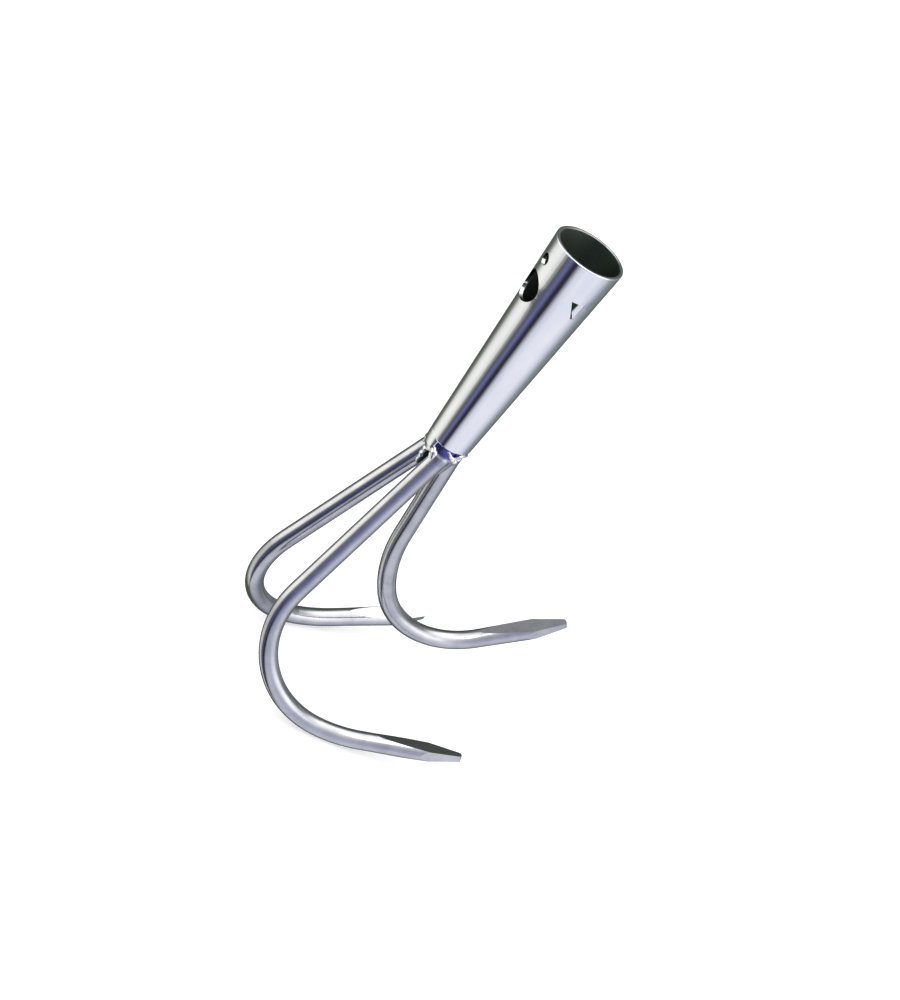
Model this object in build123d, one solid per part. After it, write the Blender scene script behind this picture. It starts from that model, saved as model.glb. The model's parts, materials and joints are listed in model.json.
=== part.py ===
from build123d import *
import math
import os

# Three-tined drag claw head: a tapered pole socket with three bent round bars welded under it.
# Origin at the centre of the socket's mouth, +Z up out of the mouth along the socket's axis,
# +X the way the three points reach, Y across: the left tine lies at +Y and the right tine at -Y.
# Millimetres and degrees throughout.

# ---------------------------------------------------------------- socket
socket_length = 99.0          # mouth to lower rim
mouth_diameter = 29.5         # outside, at the mouth
lower_diameter = 18.4         # outside, at the lower rim
socket_wall = 1.5
mouth_edge_round = 0.45       # both edges of the mouth
lower_edge_round = 1.1        # outer edge of the lower rim
screw_hole_diameter = 5.0     # on the back, for the screw or nail through the pole
screw_hole_drop = 9.6         # hole centre below the mouth
large_hole_diameter = 13.0    # on the back, in line under the screw hole
large_hole_drop = 22.2

# ---------------------------------------------------------------- lanced barb in the socket's right wall
barb_drop = 14.6              # upper edge of the cut below the mouth
barb_width = 5.8              # upper edge of the cut
barb_height = 7.2
barb_foot_width = 1.2         # lower edge of the cut
barb_offset = 0.5             # how far the cut's upper edge is centred towards +X
barb_push = 2.6               # how far the free corner is pushed in from the wall
barb_thickness = 1.1
barb_root = 0.5               # how far the tab's hinge side runs into the wall
barb_sink = 0.3               # tab's outer face below the wall's outer face, at the hinge side

# ---------------------------------------------------------------- bars
bar_diameter = 8.0
bar_drop = 5.4                # top ends of the bars below the lower rim
side_bar_gap = 1.5            # between the two side bars at their top ends
centre_bar_gap = 0.15         # between the centre bar and each side bar at their top ends
side_bar_setback = 1.6        # axes of the side bars behind the socket's axis at their top ends
bar_trim = 6.0                # raw length above the top ends, cut away level

# centre tine: straight shank, two tangent bends, then a straight lead to the flats
centre_lean = 4.9             # shank leans towards +X going down
centre_shank = 45.9
centre_bend_radii = [65.5, 37.2]
centre_bend_angles = [29.0, 90.3]
centre_lead = 0.9

# side tines
side_rake = 16.8              # shank leans towards -X going down
side_splay = 7.7              # shank leans outward going down
side_roll = 11.5              # bend plane turned about the shank, points outward
side_shank = 81.5
side_bend_radii = [42.3, 63.8]
side_bend_angles = [100.9, 18.5]
side_lead = 5.7

# ---------------------------------------------------------------- flattened points
flat_length = 38.0            # where the pressed flats run out into the round bar
shoulder_length = 18.0        # point to shoulder, where the sheared sides start
shoulder_width = 8.8          # across the flats' edges at the shoulder
shoulder_bulge = 8.6          # depth of the oval that the flats are pressed into, at the shoulder
nose_width = 2.8              # across, at the blunt nose
nose_round = 1.2
nose_thickness = 2.6

# ---------------------------------------------------------------- welds
plug_depth = 2.0              # weld metal run up inside the socket
neck_margin = 0.25            # neck at the rim, outside the bore
neck_foot_radius = 7.95       # neck where it meets the bars' top ends
collar_height = 2.7           # melted collar over the bars' top ends
collar_round = 0.8
tail_depth = 6.6              # weld metal run down between the bars below their top ends
tail_radius = 2.4
tail_foot_radius = 1.2
bead_start = 1.0              # a bead's upper end, below the lower rim
back_bead_inset = 5.2         # upper end of the back bead's axis, inside the rim's outer edge
front_bead_inset = 2.6        # the same for the two beads beside the centre bar
bead_foot = 12.6              # a bead's lower end, along its bars below their top ends
bead_start_radius = 2.7
bead_radius = 3.3             # thickest part, a third of the way down
bead_end_radius = 0.9
bead_offset = 3.6             # lower end of the axis, outside the line that joins its two bars
lip_turn = 76.0               # smooth lip on the back, flush with the socket: width about the axis
lip_depth = 8.8               # its lower edge below the rim
lip_straight = 1.6            # how far below the rim it starts to curl in
lip_middle_inset = 1.0        # halfway down, inside the rim's outer edge
lip_foot_inset = 3.9          # at its lower edge, inside the rim's outer edge
lip_thickness = 3.2
dab_radius = 2.6              # solidified lumps where a bead crosses the rim
dab_turns = [-22.0, -3.0, 17.0]       # places of the lumps about the socket's axis, from the bead
dab_drops = [1.2, 2.6, 0.9]           # their centres below the lower rim
dab_inset = 2.0                       # their centres inside the rim's outer edge

# ---------------------------------------------------------------- worked out
bar_radius = bar_diameter / 2
rim_z = -socket_length
bar_top_z = rim_z - bar_drop
side_bar_y = (bar_diameter + side_bar_gap) / 2
centre_bar_x = math.sqrt((bar_diameter + centre_bar_gap) ** 2 - side_bar_y ** 2) - side_bar_setback
taper = (mouth_diameter - lower_diameter) / 2 / socket_length


def outer_radius(z):
    """Outside radius of the socket at height z."""
    return mouth_diameter / 2 + taper * z


def bore_radius(z):
    return outer_radius(z) - socket_wall


# ---------------------------------------------------------------- socket
def socket_shell():
    corners = [
        (bore_radius(0), 0),
        (outer_radius(0), 0),
        (outer_radius(rim_z), rim_z),
        (bore_radius(rim_z), rim_z),
    ]
    wall = make_face(Polyline(*corners, close=True))
    mouth_corners = [v for v in wall.vertices() if v.Y > rim_z / 2]
    wall = fillet(mouth_corners, mouth_edge_round)
    outer_foot = wall.vertices().filter_by(lambda v: v.Y < rim_z / 2).sort_by(Axis.X)[-1]
    wall = fillet(outer_foot, lower_edge_round)
    return revolve(Plane.XZ * wall, Axis.Z)


def back_hole(diameter, drop):
    """Cutter for a hole square to the axis, through the back wall only."""
    reach = mouth_diameter
    start = Plane(origin=(0, 0, -drop), x_dir=(0, 1, 0), z_dir=(-1, 0, 0))
    return extrude(start * Circle(diameter / 2), reach)


def barb_outline():
    """Corners of the lanced cut as (x, z): upper free, upper hinge, lower hinge, lower free."""
    left = -barb_width / 2 + barb_offset
    right = left + barb_width
    top = -barb_drop
    foot = top - barb_height
    return [(left, top), (right, top), (right - barb_foot_width / 2, foot),
            (right - 1.5 * barb_foot_width, foot)]


def on_right_wall(x, z, depth=0.0):
    """Point on the socket's right wall, depth in from its outer face."""
    radius = outer_radius(z) - depth
    return Vector(x, -math.sqrt(radius ** 2 - x ** 2), z)


def barb_cut():
    outline = Plane.XZ * Polyline(*barb_outline(), close=True)
    return extrude(make_face(outline), mouth_diameter, dir=(0, -1, 0))


def barb_tab():
    """The triangle of wall, still held along its +X side and pushed in at its upper -X corner."""
    upper_free, upper_hinge, lower_hinge, lower_free = barb_outline()
    hinge_top = on_right_wall(*upper_hinge, depth=barb_sink)
    hinge_foot = on_right_wall(*lower_hinge, depth=barb_sink)
    free_corner = on_right_wall(*upper_free, depth=barb_push)
    along = (hinge_foot - hinge_top).normalized()
    inward = along.cross(free_corner - hinge_top).normalized()
    if inward.Y < 0:
        inward = -inward
    sheet = Plane(origin=hinge_top, x_dir=along, z_dir=inward)
    corner = sheet.to_local_coords(free_corner)
    side = math.copysign(barb_root, -corner.Y)
    length = (hinge_foot - hinge_top).length
    outline = Polyline((0, side), (length, side), (length, 0), (corner.X, corner.Y), close=True)
    return extrude(sheet * make_face(outline), barb_thickness)


def make_socket():
    shell = socket_shell()
    shell -= back_hole(screw_hole_diameter, screw_hole_drop)
    shell -= back_hole(large_hole_diameter, large_hole_drop)
    shell -= barb_cut()
    return shell + barb_tab()


# ---------------------------------------------------------------- tines
def flattened_point(start):
    """Pressed and sheared end of a bar: start is its plane, z along the bar, x across the flats."""
    growth = flat_length / (flat_length - shoulder_length)
    end_half_width = bar_radius + (shoulder_width / 2 - bar_radius) * growth
    end_half_depth = bar_radius + (shoulder_bulge / 2 - bar_radius) * growth
    oval = Pos(0, 0, flat_length) * Ellipse(end_half_width, end_half_depth)
    pressed = loft([Circle(bar_radius).face(), oval.face()], ruled=True)
    flats = Polyline((0, -bar_radius), (flat_length, -nose_thickness / 2),
                     (flat_length, nose_thickness / 2), (0, bar_radius), close=True)
    side_view = Plane(origin=(0, 0, 0), x_dir=(0, 0, 1), z_dir=(1, 0, 0))
    pressed &= extrude(side_view * make_face(flats), 2 * shoulder_width, both=True)
    shoulder = flat_length - shoulder_length
    half = shoulder_width / 2
    plan = make_face(Polyline(
        (0, -2 * half), (shoulder, -2 * half), (shoulder, -half), (flat_length, -nose_width / 2),
        (flat_length, nose_width / 2), (shoulder, half), (shoulder, 2 * half), (0, 2 * half),
        close=True))
    nose_corners = [v for v in plan.vertices() if v.X > flat_length - 0.01]
    plan = fillet(nose_corners, nose_round)
    top_view = Plane(origin=(0, 0, 0), x_dir=(0, 0, 1), z_dir=(0, -1, 0))
    pressed &= extrude(top_view * plan, 2 * bar_diameter, both=True)
    return start * pressed


def make_tine(top, direction, inward, shank, radii, angles, lead):
    """Bent bar from its level top end to its flattened point, in the plane of direction and inward."""
    direction = direction.normalized()
    across = direction.cross(inward).normalized()
    raw_start = top - direction * bar_trim
    bend_plane = Plane(origin=raw_start, x_dir=direction, z_dir=across)
    with BuildLine(bend_plane) as route:
        run = Line((0, 0), (bar_trim + shank, 0))
        for radius, angle in zip(radii, angles):
            run = JernArc(run @ 1, run % 1, radius, angle)
        Line(run @ 1, run @ 1 + (run % 1) * lead)
    path = route.wire()
    section = Plane(origin=path @ 0, z_dir=direction) * Circle(bar_radius)
    bar = sweep(section, path=path)
    bar += flattened_point(Plane(origin=path @ 1, x_dir=across, z_dir=path % 1))
    return split(bar, bisect_by=Plane.XY.offset(bar_top_z), keep=Keep.BOTTOM)


def side_direction(side):
    """Shank direction of a side tine: side is +1 for the left one, -1 for the right one."""
    rake = math.tan(math.radians(side_rake))
    splay = math.tan(math.radians(side_splay))
    return Vector(-rake, side * splay, -1).normalized()


def side_top(side):
    return Vector(-side_bar_setback, side * side_bar_y, bar_top_z)


def centre_direction():
    lean = math.radians(centre_lean)
    return Vector(math.sin(lean), 0, -math.cos(lean))


def make_centre_tine():
    direction = centre_direction()
    inward = Vector(-direction.Z, 0, direction.X)
    return make_tine(Vector(centre_bar_x, 0, bar_top_z), direction, inward,
                     centre_shank, centre_bend_radii, centre_bend_angles, centre_lead)


def make_side_tine(side):
    direction = side_direction(side)
    forward = Vector(1, 0, 0)
    inward = (forward - direction * forward.dot(direction)).normalized()
    inward = inward.rotate(Axis((0, 0, 0), direction), -side * side_roll)
    return make_tine(side_top(side), direction, inward,
                     side_shank, side_bend_radii, side_bend_angles, side_lead)


# ---------------------------------------------------------------- welds
def frustum(low_radius, low_z, high_radius, high_z):
    """Round tapered disc about the socket's axis."""
    low = Pos(0, 0, low_z) * Circle(low_radius)
    high = Pos(0, 0, high_z) * Circle(high_radius)
    return loft([low.face(), high.face()], ruled=True)


def make_core(bars):
    """Weld metal that fuses the bars' top ends and closes the socket's lower end."""
    plug_z = rim_z + plug_depth
    core = frustum(bore_radius(rim_z), rim_z, bore_radius(plug_z), plug_z)
    core += frustum(neck_foot_radius, bar_top_z, bore_radius(rim_z) + neck_margin, rim_z)
    tops = [Pos(centre_bar_x, 0) * Circle(bar_radius)]
    tops += [Pos(-side_bar_setback, side * side_bar_y) * Circle(bar_radius) for side in (1, -1)]
    hull = make_hull([edge for top in tops for edge in top.edges()])
    collar = extrude(Pos(0, 0, bar_top_z) * hull, collar_height)
    collar = fillet(collar.faces().sort_by(Axis.Z)[-1].edges(), collar_round)
    tail = frustum(tail_foot_radius, bar_top_z - tail_depth, tail_radius, bar_top_z)
    return core + collar + tail - bars


def back_lip():
    """Smooth sector of weld metal that carries the socket's back wall on, curling in over the bars."""
    reach = outer_radius(rim_z)
    top_z = rim_z + lower_edge_round
    curl_z = rim_z - lip_straight
    foot_z = rim_z - lip_depth
    foot_reach = reach - lip_foot_inset
    with BuildLine() as profile:
        Polyline((foot_reach, foot_z), (foot_reach - lip_thickness, foot_z),
                 (foot_reach - lip_thickness, top_z), (outer_radius(top_z), top_z), (reach, curl_z))
        ThreePointArc((reach, curl_z), (reach - lip_middle_inset, (curl_z + foot_z) / 2),
                      (foot_reach, foot_z))
    sector = revolve(Plane.XZ * make_face(profile.line), Axis.Z, lip_turn)
    return Rot(0, 0, 180 - lip_turn / 2) * sector


def make_bead(first, second, inset, others, lip=None):
    """Weld metal in the valley between two bars, each a (top, direction), with lumps at the rim."""
    middle = (first[0] + second[0]) / 2
    joining = second[0] - first[0]
    outward = Vector(joining.Y, -joining.X, 0).normalized()
    if outward.dot(middle) < 0:
        outward = -outward
    along = (first[1] + second[1]).normalized()
    start = outward * (outer_radius(rim_z) - inset) + Vector(0, 0, rim_z - bead_start)
    foot = middle + outward * bead_offset + along * bead_foot
    length = (foot - start).length
    with BuildLine(Plane.XZ) as outline:
        Polyline((bead_start_radius, 0), (0, 0), (0, length), (bead_end_radius, length))
        ThreePointArc((bead_end_radius, length), (bead_radius, length / 3), (bead_start_radius, 0))
    bead = Plane(origin=start, z_dir=foot - start) * revolve(make_face(outline.line), Axis.Z)
    heading = math.degrees(math.atan2(outward.Y, outward.X))
    dab_reach = outer_radius(rim_z) - dab_inset
    for turn, drop in zip(dab_turns, dab_drops):
        bead += Rot(0, 0, heading + turn) * Pos(dab_reach, 0, rim_z - drop) * Sphere(dab_radius)
    if lip is not None:
        bead += lip
    return bead - others


# ---------------------------------------------------------------- the assembly
def build():
    nodes = {}
    nodes["handle_socket"] = make_socket()
    nodes["centre_tine"] = make_centre_tine()
    nodes["left_tine"] = make_side_tine(1)
    nodes["right_tine"] = make_side_tine(-1)
    bars = [nodes["centre_tine"], nodes["left_tine"], nodes["right_tine"]]
    nodes["weld_core"] = make_core(bars)
    others = [nodes["handle_socket"], nodes["weld_core"], *bars]
    centre = (Vector(centre_bar_x, 0, bar_top_z), centre_direction())
    left = (side_top(1), side_direction(1))
    right = (side_top(-1), side_direction(-1))
    nodes["back_weld_bead"] = make_bead(left, right, back_bead_inset, others, back_lip())
    nodes["left_weld_bead"] = make_bead(centre, left, front_bead_inset, others)
    nodes["right_weld_bead"] = make_bead(right, centre, front_bead_inset, others)
    return nodes


os.makedirs("parts", exist_ok=True)
for name, shape in build().items():
    shape.label = name
    export_step(shape, f"parts/{name}.step")
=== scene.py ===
import json
import math

import bmesh
import bpy
from mathutils import Matrix, Vector, noise


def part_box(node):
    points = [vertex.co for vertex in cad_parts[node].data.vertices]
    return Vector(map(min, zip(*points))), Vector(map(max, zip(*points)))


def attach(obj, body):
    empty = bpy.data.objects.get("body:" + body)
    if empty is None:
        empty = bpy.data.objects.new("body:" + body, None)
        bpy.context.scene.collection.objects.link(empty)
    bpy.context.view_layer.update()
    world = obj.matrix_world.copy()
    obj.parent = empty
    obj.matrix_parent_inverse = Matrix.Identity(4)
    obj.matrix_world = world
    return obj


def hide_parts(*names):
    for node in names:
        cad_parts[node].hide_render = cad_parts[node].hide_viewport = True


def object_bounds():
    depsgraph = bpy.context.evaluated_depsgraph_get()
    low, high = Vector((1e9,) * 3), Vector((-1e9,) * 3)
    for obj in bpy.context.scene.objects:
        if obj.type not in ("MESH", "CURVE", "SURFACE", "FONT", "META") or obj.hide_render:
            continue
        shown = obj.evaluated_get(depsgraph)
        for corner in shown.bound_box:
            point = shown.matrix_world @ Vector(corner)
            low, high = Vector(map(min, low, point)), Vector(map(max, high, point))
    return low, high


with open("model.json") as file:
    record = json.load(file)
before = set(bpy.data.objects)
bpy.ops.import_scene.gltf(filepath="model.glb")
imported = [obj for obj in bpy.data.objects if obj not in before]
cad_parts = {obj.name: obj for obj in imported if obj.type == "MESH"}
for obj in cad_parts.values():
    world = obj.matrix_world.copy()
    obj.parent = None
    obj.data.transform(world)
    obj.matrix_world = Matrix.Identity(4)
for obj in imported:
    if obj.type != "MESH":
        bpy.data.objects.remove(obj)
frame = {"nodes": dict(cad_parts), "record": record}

cad_low, cad_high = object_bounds()
MM = 0.001

# Sizes of the frame's parts that the materials and the welds follow, in millimetres and degrees.
MOUTH_RADIUS = 14.75
SOCKET_TAPER = 0.05606
SOCKET_WALL = 1.5
BAR_RADIUS = 4.0
SIDE_BAR_TOP = (-1.6, 4.75)
CENTRE_BAR_TOP = (5.02, 0.0)
SIDE_BAR_RAKE = 16.8
SIDE_BAR_SPLAY = 7.7
CENTRE_BAR_LEAN = 4.9
rim_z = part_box("handle_socket")[0].z / MM
bar_top_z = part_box("left_tine")[1].z / MM


# ---------------------------------------------------------------- small helpers
def metal_material(name):
    """A material with one metallic Principled shader joined to its output, and its node helper."""
    material = bpy.data.materials.new(name)
    material.use_nodes = True
    tree = material.node_tree
    tree.nodes.clear()
    out = tree.nodes.new("ShaderNodeOutputMaterial")
    shader = tree.nodes.new("ShaderNodeBsdfPrincipled")
    tree.links.new(shader.outputs["BSDF"], out.inputs["Surface"])
    shader.inputs["Metallic"].default_value = 1.0
    return material, Nodes(tree), shader


class Nodes:
    """Short calls that add nodes to one tree and return their outputs."""

    def __init__(self, tree):
        self.tree = tree

    def add(self, kind, **settings):
        node = self.tree.nodes.new(kind)
        for key, value in settings.items():
            setattr(node, key, value)
        return node

    def put(self, socket, value):
        if hasattr(value, "is_output"):
            self.tree.links.new(value, socket)
        else:
            socket.default_value = value

    def maths(self, operation, a, b=0.0, clamp=False):
        node = self.add("ShaderNodeMath", operation=operation, use_clamp=clamp)
        self.put(node.inputs[0], a)
        self.put(node.inputs[1], b)
        return node.outputs[0]

    def vector(self, operation, a, b=(0, 0, 0)):
        node = self.add("ShaderNodeVectorMath", operation=operation)
        self.put(node.inputs[0], a)
        self.put(node.inputs[1], b)
        gives_number = operation in ("DOT_PRODUCT", "LENGTH")
        return node.outputs["Value" if gives_number else "Vector"]

    def split(self, a):
        node = self.add("ShaderNodeSeparateXYZ")
        self.put(node.inputs[0], a)
        return node.outputs

    def scaled(self, a, scale):
        node = self.add("ShaderNodeMapping")
        self.put(node.inputs["Vector"], a)
        node.inputs["Scale"].default_value = scale
        return node.outputs[0]

    def noise(self, place, scale, detail=3.0, rough=0.5, distortion=0.0):
        node = self.add("ShaderNodeTexNoise")
        self.put(node.inputs["Vector"], place)
        node.inputs["Scale"].default_value = scale
        node.inputs["Detail"].default_value = detail
        node.inputs["Roughness"].default_value = rough
        node.inputs["Distortion"].default_value = distortion
        return node.outputs["Fac"]

    def ramp(self, factor, stops):
        """stops: (position, colour or grey) pairs."""
        node = self.add("ShaderNodeValToRGB")
        self.put(node.inputs[0], factor)
        points = node.color_ramp.elements
        while len(points) < len(stops):
            points.new(0.5)
        for point, (position, colour) in zip(points, stops):
            point.position = position
            point.color = (colour,) * 3 + (1,) if isinstance(colour, float) else (*colour, 1)
        return node.outputs["Color"]

    def between(self, value, low, high, to_low=0.0, to_high=1.0):
        node = self.add("ShaderNodeMapRange")
        self.put(node.inputs["Value"], value)
        node.inputs["From Min"].default_value = low
        node.inputs["From Max"].default_value = high
        node.inputs["To Min"].default_value = to_low
        node.inputs["To Max"].default_value = to_high
        return node.outputs["Result"]

    def mix(self, factor, a, b):
        node = self.add("ShaderNodeMix", data_type="RGBA")
        self.put(node.inputs[0], factor)
        self.put(node.inputs[6], (*a, 1) if isinstance(a, tuple) else a)
        self.put(node.inputs[7], (*b, 1) if isinstance(b, tuple) else b)
        return node.outputs[2]

    def blend(self, factor, a, b):
        node = self.add("ShaderNodeMix", data_type="FLOAT")
        self.put(node.inputs[0], factor)
        self.put(node.inputs[2], a)
        self.put(node.inputs[3], b)
        return node.outputs[0]

    def bump(self, height, depth, strength=1.0, after=None):
        node = self.add("ShaderNodeBump")
        self.put(node.inputs["Height"], height)
        node.inputs["Distance"].default_value = depth
        node.inputs["Strength"].default_value = strength
        if after is not None:
            self.put(node.inputs["Normal"], after)
        return node.outputs["Normal"]


def place_of(nodes):
    return nodes.add("ShaderNodeTexCoord").outputs["Object"]


# ---------------------------------------------------------------- materials
def socket_material():
    """Bright zinc, faintly streaked along the tube; rougher inside the bore and on the barb, with painted
    shade there: greenish grey darkening to near black from one side of the bore to the other, and the
    barb's tab tip painted near black for the shade in its opening.
    """
    material, n, shader = metal_material("zinc_socket_bright")
    place = place_of(n)
    geometry = n.add("ShaderNodeNewGeometry")
    x, y, z = n.split(place)
    radial = n.add("ShaderNodeCombineXYZ")
    n.put(radial.inputs[0], x)
    n.put(radial.inputs[1], y)
    away_from_axis = n.vector("NORMALIZE", radial.outputs[0])
    outwards = n.vector("DOT_PRODUCT", geometry.outputs["True Normal"], away_from_axis)
    wall = n.maths("ADD", n.maths("MULTIPLY", z, SOCKET_TAPER), MOUTH_RADIUS * MM)
    depth = n.maths("SUBTRACT", wall, n.vector("LENGTH", radial.outputs[0]))
    inside = n.between(depth, (SOCKET_WALL - 0.35) * MM, (SOCKET_WALL - 0.1) * MM)
    # Painted shade: the barb tab's outward face, sunk below the wall's inner face, is painted near black
    # for the shadow in its opening.
    painted_barb_shade = n.maths("MULTIPLY", inside, n.between(outwards, 0.0, 0.3))
    cloud = n.noise(n.scaled(place, (1, 1, 0.35)), 90, 4)
    bright = n.mix(n.between(cloud, 0.35, 0.65), (0.80, 0.81, 0.86), (0.90, 0.90, 0.91))
    # Painted shade inside the bore: greenish grey at one side, darkening to near black at the other, by
    # x.
    bore_shade_across = n.between(n.maths("ADD", x, n.maths("MULTIPLY", cloud, 0.008)), -0.008, 0.014)
    painted_bore_shade = n.mix(bore_shade_across, (0.40, 0.45, 0.40), (0.10, 0.13, 0.11))
    painted_bore_shade = n.mix(painted_barb_shade, painted_bore_shade, (0.02, 0.035, 0.025))
    n.put(shader.inputs["Base Color"], n.mix(inside, bright, painted_bore_shade))
    streaks = n.noise(n.scaled(place, (1, 1, 0.02)), 2500, 2)
    smooth = n.between(streaks, 0.3, 0.7, 0.07, 0.13)
    n.put(shader.inputs["Roughness"], n.blend(inside, smooth, 0.42))
    waves = n.bump(n.noise(n.scaled(place, (1, 1, 0.25)), 45, 2), 0.00025)
    n.put(shader.inputs["Normal"], n.bump(streaks, 0.000006, 1.0, waves))
    return material


def bar_material():
    """Satin zinc with a fine grain and cloudy brightness."""
    material, n, shader = metal_material("zinc_bar_satin")
    place = place_of(n)
    cloud = n.noise(place, 140, 5)
    satin = n.mix(n.between(cloud, 0.35, 0.65), (0.45, 0.45, 0.49), (0.54, 0.54, 0.56))
    n.put(shader.inputs["Base Color"], satin)
    n.put(shader.inputs["Roughness"], n.between(n.noise(place, 900, 3), 0.3, 0.7, 0.13, 0.20))
    grain = n.bump(n.noise(place, 1500, 3), 0.000006)
    n.put(shader.inputs["Normal"], grain)
    return material


def seat_material():
    """Melted metal round the bars' top ends: satin as the bars, with a painted dark violet reflection and
    shade on the neck under the rim.
    """
    material, n, shader = metal_material("zinc_weld_seat")
    place = place_of(n)
    height = n.split(place)[2]
    cloud = n.noise(place, 260, 4)
    satin = n.mix(n.between(cloud, 0.35, 0.65), (0.34, 0.35, 0.40), (0.46, 0.46, 0.52))
    uneven_height = n.maths("ADD", height, n.maths("MULTIPLY", cloud, 0.0012))
    # Painted reflection and shade: the neck just under the rim is painted dark violet for the dark studio
    # it mirrors and the shade beneath the rim.
    neck = n.between(uneven_height, (rim_z - 4.0) * MM, (rim_z - 3.2) * MM)
    n.put(shader.inputs["Base Color"], n.mix(neck, satin, (0.10, 0.10, 0.30)))
    n.put(shader.inputs["Roughness"], n.between(n.noise(place, 700, 3), 0.3, 0.7, 0.2, 0.34))
    n.put(shader.inputs["Normal"], n.bump(n.noise(place, 500, 3), 0.0001))
    return material


def weld_material():
    """Bright zinc over uneven weld metal."""
    material, n, shader = metal_material("zinc_weld_uneven")
    place = place_of(n)
    cloud = n.noise(place, 300, 4)
    bright = n.mix(n.between(cloud, 0.35, 0.65), (0.78, 0.78, 0.82), (0.92, 0.92, 0.92))
    n.put(shader.inputs["Base Color"], bright)
    n.put(shader.inputs["Roughness"], n.between(n.noise(place, 700, 3), 0.3, 0.7, 0.12, 0.3))
    n.put(shader.inputs["Normal"], n.bump(n.noise(place, 500, 3), 0.0001))
    return material


materials = {
    "zinc_socket": socket_material(),
    "zinc_bar": bar_material(),
    "zinc_weld": weld_material(),
}
for part in frame["record"]["subparts"]:
    thing = frame["nodes"][part["node"]]
    thing.data.materials.clear()
    thing.data.materials.append(materials[part["material_slot"]])


# ---------------------------------------------------------------- welds
def bar_line(which):
    """(top point, unit direction) of a bar's shank, in millimetres: which is left, right or centre."""
    if which == "centre":
        lean = math.radians(CENTRE_BAR_LEAN)
        return Vector((*CENTRE_BAR_TOP, bar_top_z)), Vector((math.sin(lean), 0, -math.cos(lean)))
    side = 1 if which == "left" else -1
    rake = math.tan(math.radians(SIDE_BAR_RAKE))
    splay = math.tan(math.radians(SIDE_BAR_SPLAY))
    top = Vector((SIDE_BAR_TOP[0], side * SIDE_BAR_TOP[1], bar_top_z))
    return top, Vector((-rake, side * splay, -1)).normalized()


def by_rim(turn, radius, drop):
    """Point at an angle about the socket's axis, in degrees from +X, drop below its lower rim."""
    a = math.radians(turn)
    return Vector((radius * math.cos(a), radius * math.sin(a), rim_z - drop))


class Lumps:
    """Overlapping balls, discs and tapers that become one skin of weld metal, in millimetres."""

    def __init__(self):
        self.mesh = bmesh.new()

    def ball(self, centre, radius, squash=(1, 1, 1)):
        stretch = Matrix.Diagonal((*squash, 1))
        bmesh.ops.create_icosphere(self.mesh, subdivisions=2, radius=radius,
                                   matrix=Matrix.Translation(centre) @ stretch)

    def taper(self, start, end, start_radius, end_radius):
        direction = end - start
        turned = direction.to_track_quat("Z", "Y").to_matrix().to_4x4()
        middle = Matrix.Translation((start + end) / 2)
        bmesh.ops.create_cone(self.mesh, cap_ends=True, segments=64, radius1=start_radius,
                              radius2=end_radius, depth=direction.length, matrix=middle @ turned)

    def strand(self, points, radii, step=0.35, lump=0.0, seed=0):
        """Balls along a smooth line through the points, swelling and shrinking by lump."""
        count = len(points) - 1
        for i in range(count):
            before = points[max(i - 1, 0)]
            after = points[min(i + 2, count)]
            a, b = points[i], points[i + 1]
            steps = max(2, int((b - a).length / step))
            for k in range(steps + (i == count - 1)):
                t = k / steps
                place = 0.5 * (2 * a + (b - before) * t
                               + (2 * before - 5 * a + 4 * b - after) * t ** 2
                               + (3 * a - before - 3 * b + after) * t ** 3)
                radius = radii[i] * (1 - t) + radii[i + 1] * t
                swell = 1 + lump * noise.noise(place * 0.9 + Vector((seed * 7.3, 0, 0)))
                self.ball(place, radius * swell)

    def grid(self, rows):
        """Closed skin over equal rows of points, the last row joined to the first."""
        made = [[self.mesh.verts.new(p) for p in row] for row in rows]
        for row, after in zip(made, made[1:] + made[:1]):
            for i in range(len(row) - 1):
                self.mesh.faces.new((row[i], row[i + 1], after[i + 1], after[i]))
        self.mesh.faces.new([row[0] for row in made])
        self.mesh.faces.new([row[-1] for row in reversed(made)])

    def skin(self, name, voxel, rounds, slot, rough=0.0, rough_scale=1.0, seed=0):
        """One smooth mesh object round all the lumps, in metres, with its bumps pushed out."""
        bmesh.ops.recalc_face_normals(self.mesh, faces=self.mesh.faces)
        data = bpy.data.meshes.new(name)
        self.mesh.to_mesh(data)
        self.mesh.free()
        thing = bpy.data.objects.new(name, data)
        bpy.context.scene.collection.objects.link(thing)
        remesh = thing.modifiers.new("skin", "REMESH")
        remesh.mode = "VOXEL"
        remesh.voxel_size = voxel
        smooth = thing.modifiers.new("melt", "SMOOTH")
        smooth.factor = 0.5
        smooth.iterations = rounds
        skinned = thing.evaluated_get(bpy.context.evaluated_depsgraph_get())
        made = bpy.data.meshes.new_from_object(skinned)
        thing.modifiers.clear()
        thing.data = made
        made.name = name
        away = Vector((seed * 11.1, seed * 5.7, 0))
        for vertex in made.vertices:
            wave = noise.noise(vertex.co * rough_scale + away)
            vertex.co = (vertex.co + vertex.normal * wave * rough) * MM
        made.update()
        for face in made.polygons:
            face.use_smooth = True
        made.materials.clear()
        made.materials.append(materials[slot])
        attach(thing, "root")
        return thing


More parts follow.
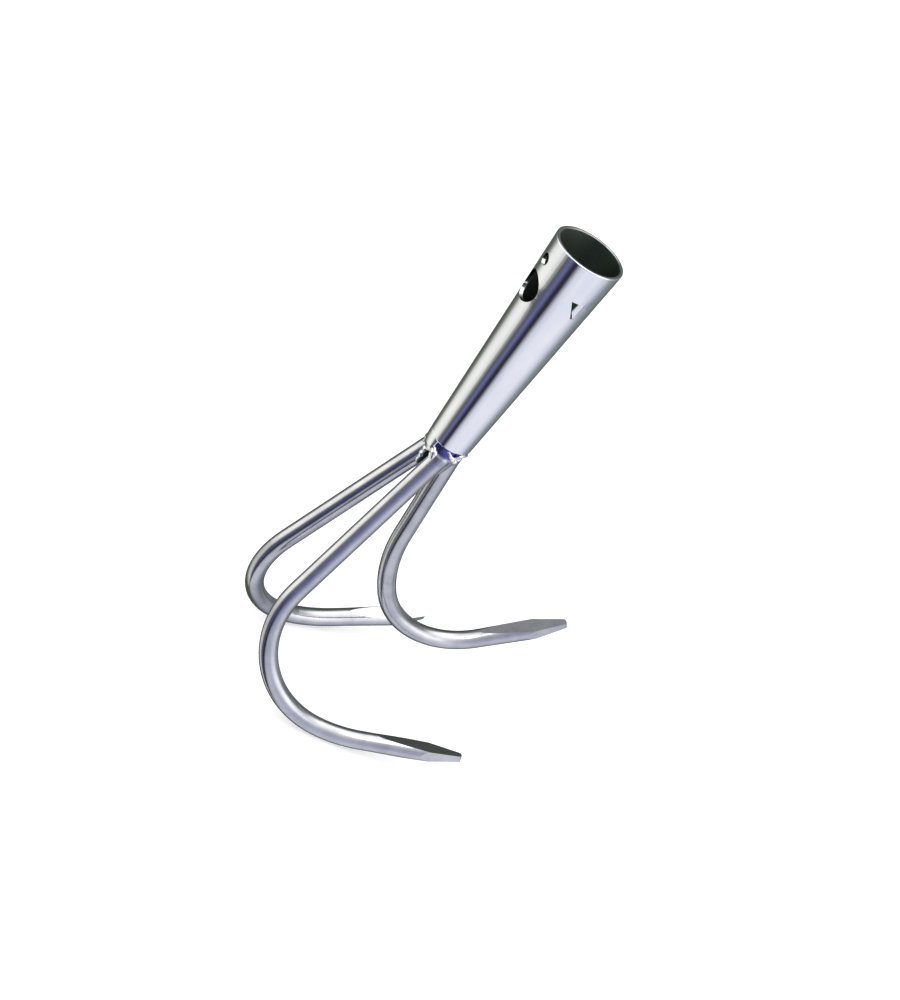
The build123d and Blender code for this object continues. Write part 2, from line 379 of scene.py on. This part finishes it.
def make_weld_seat():
    """Melted metal over the bars' top ends: neck under the rim, collar, and fillets down the bars."""
    lumps = Lumps()
    lumps.taper(Vector((0, 0, bar_top_z - 0.5)), Vector((0, 0, rim_z + 0.6)), 7.9, 7.8)
    for which in ("left", "right", "centre"):
        top, along = bar_line(which)
        above = Vector((top.x * 0.9, top.y * 0.9, bar_top_z + 2.1))
        lumps.taper(top + along * 0.8, above, BAR_RADIUS + 0.2, BAR_RADIUS - 0.9)
        lumps.taper(top + along * 9, top + along * 0.6, BAR_RADIUS - 0.35, BAR_RADIUS + 0.2)
    for first, second in (("left", "right"), ("centre", "left"), ("right", "centre")):
        top_a, along_a = bar_line(first)
        top_b, along_b = bar_line(second)
        outward = ((top_a + top_b) / 2).xy.to_3d().normalized()
        line = []
        for down in (-2.2, 0, 3, 6, 9):
            middle = (top_a + along_a * down + top_b + along_b * down) / 2
            line.append(middle + outward * (1.9 if down < 1 else 1.5))
        lumps.strand(line, (2.6, 2.9, 2.6, 2.0, 1.0))
    seat = lumps.skin("weld_seat", 0.28, 14, "zinc_weld", 0.12, 0.6, 1)
    seat.data.materials[0] = seat_material()
    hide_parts("weld_core")


def make_back_weld():
    """Smooth lip that carries the socket's back wall on and curls in, crumpled along its edges."""
    lumps = Lumps()
    steps = 24
    lip_thickness = 1.6
    # rows from the top down: drop below the rim, radius, half of the lip's width in degrees
    lip_rows = [(-2.8, 9.15, 35), (-1.2, 9.32, 35), (0.2, 9.24, 35), (2.2, 9.12, 34),
                (4.2, 8.85, 32), (6.2, 8.1, 27), (7.8, 7.0, 21), (8.9, 5.8, 13)]
    outer = []
    inner = []
    for drop, radius, half in lip_rows:
        turns = [180 - half + 2 * half * k / steps for k in range(steps + 1)]
        outer.append([by_rim(t, radius - 0.5 * abs((t - 180) / half) ** 6, drop) for t in turns])
        inner.append([by_rim(t, radius - lip_thickness, drop - 0.6) for t in turns])
    lumps.grid(outer + inner[::-1])
    # crumples at the sides: degrees from the back, radius, drop below the rim
    long_crumple = [(31, 7.5, 3.2), (40, 7.7, 4.4), (47, 7.9, 6.0), (44, 7.5, 7.4), (50, 7.9, 9.4)]
    short_crumple = [(33, 7.6, 5.6), (38, 7.9, 7.2), (40, 7.9, 9.0)]
    for side in (-1, 1):
        for crumple, radii, swell, seed in ((long_crumple, (0.8, 1.2, 1.3, 1.0, 0.5), 0.7, 3 + side),
                                            (short_crumple, (0.9, 1.0, 0.6), 0.8, side)):
            points = [by_rim(180 + turn * side, radius, drop) for turn, radius, drop in crumple]
            lumps.strand(points, radii, 0.4, swell, seed)
    top_a, along_a = bar_line("left")
    top_b, along_b = bar_line("right")
    valley = [(top_a + along_a * down + top_b + along_b * down) / 2 + Vector((-outward, 0, 0))
              for down, outward in ((0.5, 3.2), (3, 3.1), (6, 2.6), (9.5, 1.9))]
    lumps.strand(valley, (2.6, 2.5, 2.1, 1.2), 0.35, 0.2, 5)
    back = lumps.skin("back_weld", 0.2, 5, "zinc_weld", 0.05, 1.6, 2)
    back.data.materials[0] = materials["zinc_socket"]
    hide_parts("back_weld_bead")


def make_front_weld(side):
    """Folded ribbon of weld metal along the rim beside the centre bar: side is +1 left, -1 right."""
    lumps = Lumps()
    # degrees from +X towards the side, radius, drop below the rim
    along_rim = [(105, 8.2, 0.7), (97, 8.5, 1.7), (84, 8.7, 2.9), (72, 8.5, 3.9), (62, 8.3, 4.4)]
    fold_up = [(76, 8.4, 3.0), (76, 8.8, 1.6), (70, 9.1, 0.5), (58, 9.1, 0.3), (44, 9.0, 0.8),
               (33, 8.9, 1.2)]
    curl = [(68, 8.4, 3.4), (62, 8.6, 2.4), (63, 8.9, 1.6)]
    for ribbon, radii, seed in ((along_rim, (0.5, 0.9, 1.1, 1.1, 0.5), 1),
                                (fold_up, (0.9, 0.75, 0.6, 0.55, 0.6, 0.5), 2),
                                (curl, (0.7, 0.6, 0.4), 3)):
        points = [by_rim(side * turn, radius, drop) for turn, radius, drop in ribbon]
        lumps.strand(points, radii, 0.3, 0.3, seed + 4 * side)
    name = "left_weld" if side > 0 else "right_weld"
    weld = lumps.skin(name, 0.14, 3, "zinc_weld", 0.05, 2.2, 5 + side)
    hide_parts(name + "_bead")


make_weld_seat()
make_back_weld()
make_front_weld(1)
make_front_weld(-1)


# ---------------------------------------------------------------- floor, light, camera
def make_floor():
    """White floor that keeps the shadow; mirror reflections see the studio world instead."""
    floor_size = 30
    floor_grey = 0.8
    camera_lift = 0.45
    bpy.ops.mesh.primitive_plane_add(size=floor_size, location=(0, 0, cad_low.z))
    floor = bpy.context.object
    floor.name = "floor"
    material = bpy.data.materials.new("floor_white")
    material.use_nodes = True
    tree = material.node_tree
    tree.nodes.clear()
    n = Nodes(tree)
    out = n.add("ShaderNodeOutputMaterial")
    matte = n.add("ShaderNodeBsdfDiffuse")
    matte.inputs["Color"].default_value = (floor_grey, floor_grey, floor_grey, 1)
    lift = n.add("ShaderNodeEmission")
    lift.inputs["Color"].default_value = (1, 1, 1, 1)
    path = n.add("ShaderNodeLightPath").outputs
    mirrored = n.maths("MAXIMUM", path["Is Glossy Ray"], path["Is Transmission Ray"])
    seen = n.maths("MAXIMUM", path["Is Camera Ray"], mirrored)
    n.put(lift.inputs["Strength"], n.maths("MULTIPLY", seen, camera_lift))
    both = n.add("ShaderNodeAddShader")
    n.put(both.inputs[0], matte.outputs[0])
    n.put(both.inputs[1], lift.outputs[0])
    n.put(out.inputs["Surface"], both.outputs[0])
    floor.data.materials.append(material)
    floor.visible_glossy = False


# What the studio looks like from the object, by height above the horizon and by azimuth from +X:
# a white table with a dark gap at the camera, pale walls with a soft lamp each side, a bright ceiling.
GAP_BLACK = (0.03, 0.03, 0.045)
GAP_SHADE = (0.1, 0.1, 0.13)
GAP_VIOLET = (0.15, 0.16, 0.33)
GAP_BLUE = (0.15, 0.16, 0.42)
TABLE = (0.88, 0.9, 0.98)
TABLE_EDGE = (0.68, 0.7, 0.8)
FAR_TABLE = (0.27, 0.31, 0.32)
FAR_WALL = (0.11, 0.12, 0.1)
SIDE_WALL = (0.27, 0.29, 0.27)
CREAM = (1.0, 1.0, 0.94)
CREAM_EDGE = (0.77, 0.77, 0.72)
DIM_CREAM = (0.36, 0.36, 0.36)
LEFT_LAMP = (1.85, 1.83, 1.73)
RIGHT_LAMP = (1.1, 1.12, 1.2)
STUDIO_BANDS = [
    (-28, [(185, DIM_CREAM), (193, GAP_SHADE), (208, GAP_VIOLET), (220, GAP_BLACK),
           (229, GAP_BLACK), (244, TABLE_EDGE), (265, TABLE), (310, TABLE), (331, TABLE_EDGE),
           (356, FAR_TABLE), (40, FAR_WALL), (102, FAR_WALL), (117, SIDE_WALL),
           (130, CREAM_EDGE), (145, CREAM), (162, CREAM), (177, CREAM_EDGE)]),
    (-8, [(178, (1.6, 1.58, 1.5)), (188, (0.65, 0.64, 0.6)), (196, (0.16, 0.16, 0.18)),
          (212, (0.12, 0.13, 0.27)), (232, GAP_BLUE), (260, (0.44, 0.47, 0.72)),
          (280, (0.72, 0.75, 0.95)), (300, RIGHT_LAMP), (325, RIGHT_LAMP), (340, (0.62, 0.65, 0.68)),
          (30, FAR_TABLE), (65, FAR_WALL), (105, FAR_WALL), (122, (0.5, 0.5, 0.44)),
          (138, LEFT_LAMP), (160, LEFT_LAMP)]),
    (24, [(180, (1.1, 1.08, 1.0)), (200, (0.5, 0.5, 0.52)), (260, (0.5, 0.52, 0.6)),
          (288, (0.9, 0.92, 1.0)), (300, (2.1, 2.1, 2.1)), (328, (2.1, 2.1, 2.1)),
          (342, (0.8, 0.82, 0.84)), (358, (0.22, 0.24, 0.23)), (75, (0.08, 0.09, 0.08)),
          (110, SIDE_WALL), (140, (1.1, 1.1, 1.05))]),
    (46, [(180, (0.8, 0.8, 0.8)), (250, (0.7, 0.72, 0.8)), (300, (1.4, 1.4, 1.4)),
          (330, (1.3, 1.3, 1.3)), (350, (0.5, 0.52, 0.52)), (40, (0.35, 0.37, 0.36)),
          (107, (0.33, 0.35, 0.37)), (140, (0.7, 0.7, 0.7))]),
    (62, [(180, (1.2, 1.2, 1.2)), (300, (1.7, 1.7, 1.7)), (50, (2.3, 2.3, 2.3)), (100, (1.6, 1.6, 1.6))]),
]


def studio_world():
    """Plain white light for the surfaces, and the banded studio for what the metal mirrors."""
    world = bpy.data.worlds.new("white_studio")
    bpy.context.scene.world = world
    world.use_nodes = True
    tree = world.node_tree
    tree.nodes.clear()
    n = Nodes(tree)
    out = n.add("ShaderNodeOutputWorld")
    x, y, z = n.split(n.add("ShaderNodeTexCoord").outputs["Generated"])
    turn = n.between(n.maths("ARCTAN2", y, x), -math.pi, math.pi)
    height = n.maths("MULTIPLY", n.maths("ARCSINE", z), 180 / math.pi)
    seen = None
    for i, (level, stops) in enumerate(STUDIO_BANDS):
        places = sorted((((azimuth + 180) % 360) / 360, colour) for azimuth, colour in stops)
        band = n.ramp(turn, places)
        if seen is None:
            seen = band
        else:
            rising = n.between(height, STUDIO_BANDS[i - 1][0], level)
            seen = n.mix(rising, seen, band)
    path = n.add("ShaderNodeLightPath")
    background = n.add("ShaderNodeBackground")
    n.put(background.inputs["Color"], n.mix(path.outputs["Is Glossy Ray"], (1.0, 1.0, 1.0), seen))
    n.put(out.inputs["Surface"], background.outputs[0])


def area_lamp(name, place, size, watts, aim=(0, 0, -0.12)):
    """Soft round lamp that looks at the middle of the head."""
    data = bpy.data.lights.new(name, "AREA")
    data.shape = "DISK"
    data.size = size
    data.energy = watts
    lamp = bpy.data.objects.new(name, data)
    bpy.context.scene.collection.objects.link(lamp)
    lamp.location = place
    lamp.rotation_euler = (Vector(aim) - Vector(place)).to_track_quat("-Z", "Y").to_euler()


def make_camera():
    """Camera above the right rear, turned so that the socket leans to the right."""
    right = Vector((0.832, -0.189, 0.522)).normalized()
    backwards = Vector((-0.482, -0.712, 0.510))
    backwards = (backwards - right * backwards.dot(right)).normalized()
    upwards = backwards.cross(right)
    data = bpy.data.cameras.new("camera")
    data.lens = 83.1
    data.sensor_width = 36
    place = Vector((-428.5, -658.7, 345.1)) * MM
    camera = bpy.data.objects.new("camera", data)
    bpy.context.scene.collection.objects.link(camera)
    turned = Matrix((right, upwards, backwards)).transposed().to_4x4()
    camera.matrix_world = Matrix.Translation(place) @ turned
    bpy.context.scene.camera = camera


make_floor()
studio_world()
area_lamp("overhead", (-0.3, -0.5, 1.6), 1.2, 6.0)
make_camera()

scene = bpy.context.scene
scene.view_settings.view_transform = "Standard"
